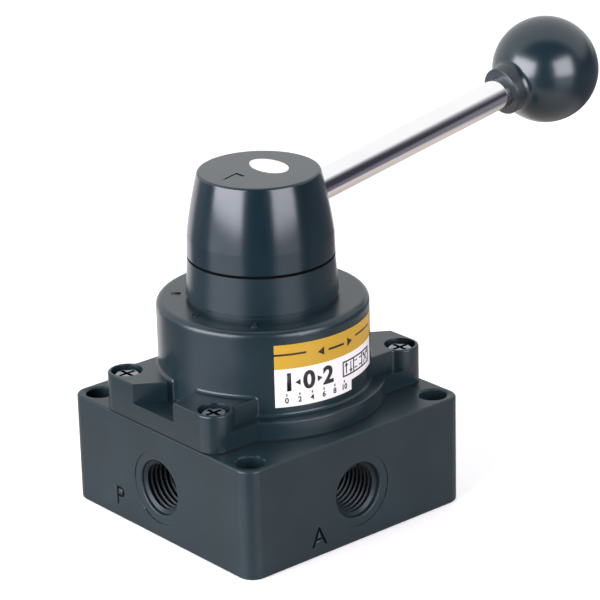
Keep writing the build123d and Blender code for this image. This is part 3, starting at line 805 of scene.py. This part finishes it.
@dataclass
class LabelPrint:
    """The ink on the label: position marks, arrows, a valve diagram and plain numbers, wrapped round the barrel.

    Places across are millimetres of arc from the label's middle, and places up are heights above the base.

    Attributes:
        radius: Outer radius of the label.
        middle: Angle of the label's middle in degrees.
        film: Thickness of the ink.
        facet: Width of the strips that follow the curve.
        line: Width of the diagram's lines.
        bold: How far the outline of the position numbers is spread.
        row: Height of the position numbers' middle.
        digit: Height of a position number.
        arrows: Height at which the arrows are, on the band.
        scale_row: Height of the small numbers' middle.
        scale_digit: Height of a small number.
        diagram_left: Left end of the diagram.
        diagram_base: Height of its lower line.
        box: Width of one of its boxes.
        tall: Height of its boxes.
        tip: Size of its arrow heads.
    """

    radius: float = 25.17
    middle: float = 271.7
    film: float = 0.03
    facet: float = 0.6
    line: float = 0.34
    bold: float = 0.035
    row: float = 39.6
    digit: float = 4.3
    arrows: float = 46.0
    scale_row: float = 35.3
    scale_digit: float = 1.35
    diagram_left: float = 2.0
    diagram_base: float = 37.9
    box: float = 3.9
    tall: float = 3.5
    tip: float = 0.62

    def bar(self, start: Spot, end: Spot, width: float) -> Object:
        """Draws a straight bar, flat on the XY plane.

        Args:
            start: Across and up of one end.
            end: Across and up of the other end.
            width: Width of the bar.

        Returns:
            The bar.
        """
        run, rise = end[0] - start[0], end[1] - start[1]
        middle = ((start[0] + end[0]) / 2 * MM, (start[1] + end[1]) / 2 * MM, 0)
        deselect()
        bpy.ops.mesh.primitive_plane_add(size=MM, location=middle)
        item = bpy.context.object
        item.scale = (sqrt(run**2 + rise**2), width, 1)
        item.rotation_euler = (0, 0, atan2(rise, run))
        settle(item)
        return item

    def head(self, spot: Spot, size: float, turn: float) -> Object:
        """Draws a solid arrow head, flat on the XY plane.

        Args:
            spot: Across and up of its middle.
            size: Radius of the circle round it.
            turn: Direction that it points to in degrees, zero to the right.

        Returns:
            The arrow head.
        """
        deselect()
        bpy.ops.mesh.primitive_circle_add(
            vertices=3, radius=size * MM, fill_type="NGON", location=(spot[0] * MM, spot[1] * MM, 0),
            rotation=(0, 0, radians(turn - 90)),
        )
        item = bpy.context.object
        settle(item)
        return item

    def words(self, text: str, spot: Spot, height: float, bold: float) -> Object:
        """Sets plain numbers, flat on the XY plane.

        Args:
            text: The numbers.
            spot: Across and up of their middle.
            height: Height of a digit.
            bold: How far the outline is spread.

        Returns:
            The numbers.
        """
        item = sign("digits", text, height, 0.0, bold)
        settle(item, Matrix.Translation((spot[0] * MM, spot[1] * MM, 0)))
        return item

    def diagram(self) -> list[Object]:
        """Draws the three boxes of the valve's diagram with the flow in each position."""
        left, base, box, tall, tip = self.diagram_left, self.diagram_base, self.box, self.tall, self.tip
        thin = self.line * 0.8
        parts = []
        for up in (base, base + tall):
            parts.append(self.bar((left, up), (left + 3 * box, up), self.line))
        for i in range(4):
            across = left + i * box
            parts.append(self.bar((across, base - self.line / 2), (across, base + tall + self.line / 2), self.line))
        low, high = base + 0.5, base + tall - 0.5
        for across, end, turn in ((left + 1.1, high - 0.3, 90), (left + 2.8, low + 0.3, -90)):
            parts.append(self.bar((across, low), (across, high), thin))
            parts.append(self.head((across, end), tip, turn))
        for side in (0.9, 3.0):
            for up in (base + 0.9, base + tall - 0.9):
                across = left + box + side
                parts.append(self.bar((across - 0.5, up), (across + 0.5, up), thin))
        last = left + 2 * box
        parts.append(self.bar((last + 0.8, low), (last + 3.1, high), thin))
        parts.append(self.bar((last + 3.1, low), (last + 0.8, high), thin))
        parts.append(self.head((last + 2.9, high - 0.3), tip, 55))
        parts.append(self.head((last + 1.0, high - 0.3), tip, 125))
        return parts

    def flat(self) -> list[Object]:
        """Draws all the print, flat on the XY plane."""
        parts = [
            self.words(text, (across, self.row), self.digit, self.bold)
            for text, across in (("1", -12.6), ("0", -7.7), ("2", -2.6))
        ]
        parts += [
            self.head((-10.3, self.row), 0.85, 180),
            self.head((-5.1, self.row), 0.85, 0),
            self.head((-4.2, self.arrows), 1.15, 180),
            self.bar((-2.4, self.arrows), (2.4, self.arrows), 0.5),
            self.head((4.2, self.arrows), 1.15, 0),
            self.bar((5.1, 36.1), (15.6, 36.1), 0.3),
        ]
        for i in range(6):
            across = -13.2 + 3.1 * i
            parts.append(self.words(str(2 * i), (across, self.scale_row), self.scale_digit, 0.02))
            parts.append(self.bar((across, 36.4), (across, 37.0), 0.28))
        return parts + self.diagram()

    def build(self, bench: Bench) -> None:
        """Wraps the print round the barrel and dresses it."""
        parts = self.flat()
        deselect()
        for part in parts:
            part.select_set(True)
        item = parts[0]
        bpy.context.view_layer.objects.active = item
        bpy.ops.object.join()
        item.name = "label_print"
        settle(item, Matrix.Rotation(pi / 2, 4, "X"))
        across = [v.co.x for v in item.data.vertices]
        start, end = min(across), max(across)
        cuts = int((end - start) / (self.facet * MM))
        with editing(item):
            for i in range(1, cuts):
                bpy.ops.mesh.select_all(action="SELECT")
                bpy.ops.mesh.bisect(plane_co=(start + (end - start) * i / cuts, 0, 0), plane_no=(1, 0, 0))
        bend = item.modifiers.new("wrap", "SIMPLE_DEFORM")
        bend.deform_method = "BEND"
        bend.deform_axis = "Z"
        bend.angle = (end - start) / ((self.radius + self.film) * MM)
        wall = item.modifiers.new("ink", "SOLIDIFY")
        wall.thickness = 2 * self.film * MM
        wall.offset = 0
        apply_modifiers(item)
        back = Matrix.Translation((0, -(self.radius + self.film) * MM, 0))
        settle(item, Matrix.Rotation(radians(self.middle - 270), 4, "Z") @ back)
        bench.dress_piece(item, PRINT_INK, "housing")


@dataclass
class BonnetMarks:
    """Cast position numbers on the barrel's top, and a black lip under the hub that widens the seam's dark line as
    painted shade.

    Attributes:
        barrel_top: Height of the barrel's flat top.
        circle: Radius on which the numbers stand.
        height: Height of a number.
        relief: How far a number stands up.
        neck_top: Height of the neck's top.
        neck_radius: Radius of the neck at its top.
        lip: How far the lip stands out.
        lip_root: How far it goes into the neck.
        lip_profile: The lip's section from the root up, as how far below its outside and how far above the neck's top.
    """

    barrel_top: float = 52.3
    circle: float = 20.5
    height: float = 2.4
    relief: float = 0.25
    neck_top: float = 62.6
    neck_radius: float = 17.2
    lip: float = 0.14
    lip_root: float = 0.1
    lip_profile: tuple[Spot, ...] = ((0.06, -0.35), (0.0, -0.27), (0.0, 0.24), (0.06, 0.32))

    def seam_shade_lip(self) -> Object:
        """Models the black lip at the seam, a painted shade that widens the gap's dark line."""
        inner, outer = self.neck_radius - self.lip_root, self.neck_radius + self.lip
        edge = [(outer - back, self.neck_top + up) for back, up in self.lip_profile]
        return lathe("seam_shade_lip", [(inner, edge[0][1]), *edge, (inner, edge[-1][1]), (inner, edge[0][1])])

    def build(self, bench: Bench) -> None:
        """Models and dresses the marks and the lip."""
        spot = Matrix.Translation((0, -self.circle * MM, self.barrel_top * MM))
        for words, turn in (("1", 135), ("0", 180), ("2", 225)):
            item = sign("mark_" + words, words, self.height, 2 * self.relief)
            settle(item, Matrix.Rotation(radians(turn - 270), 4, "Z") @ spot)
            bench.dress_piece(item, BONNET_PAINT, "housing")
        # The near-black lip stands in for the seam's shade: painted shade
        bench.dress_piece(self.seam_shade_lip(), SEAM_SHADE_RUBBER, "housing")


@dataclass
class HubPointer:
    """The island that stands in the hub's sunk pointer, so that only the pointer's outline is cut.

    Attributes:
        hub_top: Height of the hub's flat top.
        depth: Depth of the pointer's pocket.
        root: How far the island goes into the pocket's floor.
        sink: How far the island's top stays below the hub's.
        middle: Distance of the pointer's middle from the axis.
        tip: From the middle to the pointer's tip.
        slim: Width of the pointer against an even triangle's.
        share: Size of the island against the pocket's.
        edge: Rounding of the island's edges.
    """

    hub_top: float = 82.9
    depth: float = 0.5
    root: float = 0.02
    sink: float = 0.1
    middle: float = 7.2
    tip: float = 3.8
    slim: float = 0.486
    share: float = 0.7
    edge: float = 0.08

    def build(self, bench: Bench) -> None:
        """Models and dresses the island."""
        deselect()
        low, high = self.hub_top - self.depth - self.root, self.hub_top - self.sink
        bpy.ops.mesh.primitive_cylinder_add(
            vertices=3, radius=self.tip * self.share * MM, depth=(high - low) * MM,
            location=(-self.middle * MM, 0, (low + high) / 2 * MM), rotation=(0, 0, pi / 2),
        )
        item = bpy.context.object
        item.name = "pointer_island"
        item.scale = (self.slim, 1, 1)
        settle(item)
        bevel = item.modifiers.new("edges", "BEVEL")
        bevel.width = self.edge * MM
        bevel.segments = 2
        apply_modifiers(item)
        bench.dress_piece(item, HUB_PAINT, "rotor")


@dataclass(frozen=True)
class SoftBox:
    """A lamp behind a white cloth, which faces the valve.

    Attributes:
        name: Name of the lamp.
        azimuth: Where it hangs round the valve, from the camera in degrees.
        width: Width in metres.
        watts: Power.
        elevation: Height above the horizon in degrees.
        distance: Distance from the valve in metres.
        tall: Height in metres.
    """

    name: str
    azimuth: float
    width: float
    watts: float
    elevation: float = 18.0
    distance: float = 0.9
    tall: float = 0.56


@dataclass
class Studio:
    """Floor, lamps, world and the camera of the photograph.

    Attributes:
        aim: Point that the camera looks at.
        azimuth: Camera azimuth in degrees, zero looking along +Y.
        elevation: Camera height in degrees.
        roll: Roll of the camera in degrees.
        distance: Distance from the aim.
        lens: Focal length in millimetres on a sensor 36 wide.
        tent_edge: Heights in degrees where the light tent starts and is at its full light.
        screen: Colour of the dark screen in front, and of the horizon.
        side: Colour of the horizon at the sides.
        screen_edge: Shares of the forward direction where the screen starts and is full.
        backdrop_turn: Turn of the white backdrop's middle from straight behind, in degrees.
        sheet: Colour of the sheet that the valve stands on, as its paint and chrome see it.
        table: Colour of the table round the sheet, as they see it.
        sheet_centre: Middle of the sheet.
        sheet_edge: Distances where the sheet starts to turn into the table and has turned.
        glow_turn: The same turn for the world's white part.
        glow_edge: Shares of its direction where that part starts and is full.
        backdrop_edge: Shares of the backdrop's direction where gloss starts to see it and sees only it.
        floor_side: Side of the floor in metres.
        floor_white: Colour of the floor for the camera.
        floor_glow: Own light of the floor for the camera.
        lit_point: Point that the lamps face, in metres.
        boxes: The soft boxes.
        lamp_tint: Linear colour of the lamps.
    """

    aim: Point = (8.91, -2.98, 49.08)
    azimuth: float = -40.18
    elevation: float = 20.96
    roll: float = -1.46
    distance: float = 664.1
    lens: float = 169.3
    tent_edge: Span = (8.0, 24.0)
    screen: str = "#3a3843"
    side: str = "#595662"
    screen_edge: Span = (0.03, 0.27)
    backdrop_turn: float = 12.0
    sheet: str = "#c3b9af"
    table: str = "#45444c"
    sheet_centre: Point = (35.0, 0.0, 0.0)
    sheet_edge: Span = (110.0, 170.0)
    glow_turn: float = 15.0
    glow_edge: Span = (0.35, 0.75)
    backdrop_edge: Span = (0.74, 0.86)
    floor_side: float = 6.0
    floor_white: str = "#f4f4f4"
    floor_glow: float = 0.25
    lit_point: Point = (0.0, 0.0, 0.05)
    boxes: tuple[SoftBox, ...] = (SoftBox("left_box", -56, 0.97, 15.2), SoftBox("right_box", 42, 0.66, 7.6))
    lamp_tint: Point = (1.04, 1.0, 1.05)

    def outwards(self, azimuth: float, elevation: float) -> Vector:
        """Gives the direction at an azimuth, zero towards -Y, and an elevation, both in degrees."""
        a, e = radians(azimuth), radians(elevation)
        return Vector((sin(a) * cos(e), -cos(a) * cos(e), sin(e)))

    def camera(self) -> None:
        """Sets the camera at the photograph's viewing angle."""
        back = self.outwards(self.azimuth, self.elevation)
        right = self.outwards(self.azimuth + 90, 0.0)
        data = bpy.data.cameras.new("camera")
        data.lens = self.lens
        data.clip_start = 0.01
        data.clip_end = 20
        item = bpy.data.objects.new("camera", data)
        spot = Vector(self.aim) * MM + back * self.distance * MM
        level = Matrix((right, back.cross(right), back)).transposed().to_4x4()
        item.matrix_world = Matrix.Translation(spot) @ level @ Matrix.Rotation(radians(self.roll), 4, "Z")
        bpy.context.scene.collection.objects.link(item)
        bpy.context.scene.camera = item

    def lamp(self, box: SoftBox) -> None:
        """Hangs one soft box that faces the valve."""
        data = bpy.data.lights.new(box.name, "AREA")
        data.shape = "RECTANGLE"
        data.size, data.size_y = box.width, box.tall
        data.energy = box.watts
        data.color = self.lamp_tint
        item = bpy.data.objects.new(box.name, data)
        back = self.outwards(self.azimuth + box.azimuth, box.elevation)
        item.location = Vector(self.lit_point) + back * box.distance
        item.rotation_euler = back.to_track_quat("Z", "Y").to_euler()
        item.visible_camera = False
        bpy.context.scene.collection.objects.link(item)

    def towards(self, tree: Any, way: Any, azimuth: float, edge: Span) -> Any:
        """Tells how far directions lie on one side of the valve.

        Args:
            tree: The node tree.
            way: Socket with the directions.
            azimuth: Where that side's middle is, in degrees from the camera.
            edge: Shares of the middle's direction at which the side starts and is reached.

        Returns:
            The socket with the share, from zero to one.
        """
        middle = self.outwards(self.azimuth + azimuth, 0.0)
        along = add_node(tree, "VectorMath", {0: way, 1: middle}, operation="DOT_PRODUCT").outputs["Value"]
        return add_node(
            tree, "MapRange", {"Value": along, "From Min": edge[0], "From Max": edge[1]},
            interpolation_type="SMOOTHSTEP",
        ).outputs["Result"]

    def world(self) -> None:
        """Lights the studio softly and shows white behind the object."""
        world = bpy.data.worlds.new("studio")
        bpy.context.scene.world = world
        tree = clear_tree(world)
        path = add_node(tree, "LightPath")
        way = add_node(tree, "TexCoord").outputs["Generated"]
        height = add_node(tree, "SeparateXYZ", {"Vector": way}).outputs["Z"]
        low, high = [sin(radians(angle)) for angle in self.tent_edge]
        above = add_node(
            tree, "MapRange", {"Value": height, "From Min": low, "From Max": high}, interpolation_type="SMOOTHSTEP"
        ).outputs["Result"]
        back = self.towards(tree, way, self.glow_turn + 180, self.glow_edge)
        ahead = self.towards(tree, way, 0.0, self.screen_edge)
        aside = add_node(tree, "Math", {0: 1.0, 1: ahead}, operation="SUBTRACT").outputs[0]
        lit = add_node(tree, "Math", {0: above, 1: aside}, operation="MULTIPLY").outputs[0]
        bright = add_node(tree, "Math", {0: lit, 1: back}, operation="MAXIMUM").outputs[0]
        horizon = add_node(
            tree, "Mix", {"Factor": aside, "A": linear(self.screen), "B": linear(self.side)}, data_type="RGBA"
        ).outputs["Result"]
        tent = add_node(
            tree, "Mix", {"Factor": bright, "A": horizon, "B": linear("#ffffff")}, data_type="RGBA"
        ).outputs["Result"]
        room = add_node(tree, "Background", {"Color": tent, "Strength": 1.0})
        white = add_node(tree, "Background", {"Color": (1, 1, 1, 1), "Strength": 1.0})
        seen = self.backdrop_share(tree, path, back)
        mix = add_node(tree, "MixShader", {0: seen, 1: room.outputs[0], 2: white.outputs[0]})
        add_node(tree, "OutputWorld", {"Surface": mix.outputs[0]})

    def backdrop_share(self, tree: Any, path: Any, behind: Any) -> Any:
        """Tells which rays see the white backdrop: camera and transmission rays, and glossy rays that go behind.

        Args:
            tree: The node tree.
            path: Its Light Path node.
            behind: Socket with the share of a direction or place that lies behind the valve.

        Returns:
            The socket with the share of white.
        """
        gloss = add_node(tree, "Math", {0: path.outputs["Is Glossy Ray"], 1: behind}, operation="MULTIPLY")
        clear = add_node(
            tree, "Math",
            {0: path.outputs["Is Camera Ray"], 1: path.outputs["Is Transmission Ray"]},
            operation="MAXIMUM",
        )
        return add_node(tree, "Math", {0: clear.outputs[0], 1: gloss.outputs[0]}, operation="MAXIMUM").outputs[0]

    def floor(self) -> None:
        """Lays a pale floor that keeps the object's shadow."""
        deselect()
        bpy.ops.mesh.primitive_plane_add(size=self.floor_side, location=(0, 0, 0))
        item = bpy.context.object
        item.name = "floor"
        material = bpy.data.materials.new("pale_floor")
        tree = clear_tree(material)
        path = add_node(tree, "LightPath")
        spot = add_node(tree, "TexCoord").outputs["Object"]
        middle = tuple(v * MM for v in self.sheet_centre)
        reach = add_node(tree, "VectorMath", {0: spot, 1: middle}, operation="DISTANCE").outputs["Value"]
        near, off = [edge * MM for edge in self.sheet_edge]
        far = add_node(
            tree, "MapRange", {"Value": reach, "From Min": near, "From Max": off}, interpolation_type="SMOOTHSTEP"
        ).outputs["Result"]
        way = add_node(tree, "VectorMath", {0: spot}, operation="NORMALIZE").outputs["Vector"]
        behind = self.towards(tree, way, self.backdrop_turn + 180, self.backdrop_edge)
        front = self.towards(tree, way, 0.0, self.screen_edge)
        round_about = add_node(
            tree, "Mix", {"Factor": front, "A": linear(self.side), "B": linear(self.table)}, data_type="RGBA"
        ).outputs["Result"]
        tone = add_node(
            tree, "Mix", {"Factor": far, "A": linear(self.sheet), "B": round_about}, data_type="RGBA"
        ).outputs["Result"]
        shade = add_node(tree, "BsdfPrincipled", {"Base Color": tone, "Roughness": 0.35, "IOR": 1.45})
        matt = add_node(tree, "BsdfDiffuse", {"Color": linear(self.floor_white)})
        glow = add_node(tree, "Emission", {"Color": (1, 1, 1, 1), "Strength": self.floor_glow})
        lit = add_node(tree, "AddShader", {0: matt.outputs[0], 1: glow.outputs[0]})
        seen = self.backdrop_share(tree, path, behind)
        mix = add_node(tree, "MixShader", {0: seen, 1: shade.outputs[0], 2: lit.outputs[0]})
        add_node(tree, "OutputMaterial", {"Surface": mix.outputs[0]})
        item.data.materials.append(material)

    def build(self) -> None:
        """Sets up the whole studio."""
        self.camera()
        self.world()
        self.floor()
        for box in self.boxes:
            self.lamp(box)
        bpy.context.scene.view_settings.view_transform = "Standard"


def main() -> None:
    """Loads the frame, models and dresses every piece, and sets the studio."""
    logging.basicConfig(level=logging.INFO)
    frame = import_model()
    bench = Bench()
    for finish, names in FINISHED_NODES:
        for name in names:
            bench.dress_node(frame["nodes"][name], finish)
    Studio().build()
    Lever().build(bench)
    Ports().build(bench, frame["nodes"]["valve_body"])
    LabelPrint().build(bench)
    BonnetMarks().build(bench)
    HubPointer().build(bench)
    deselect()


if __name__ == "__main__":
    main()
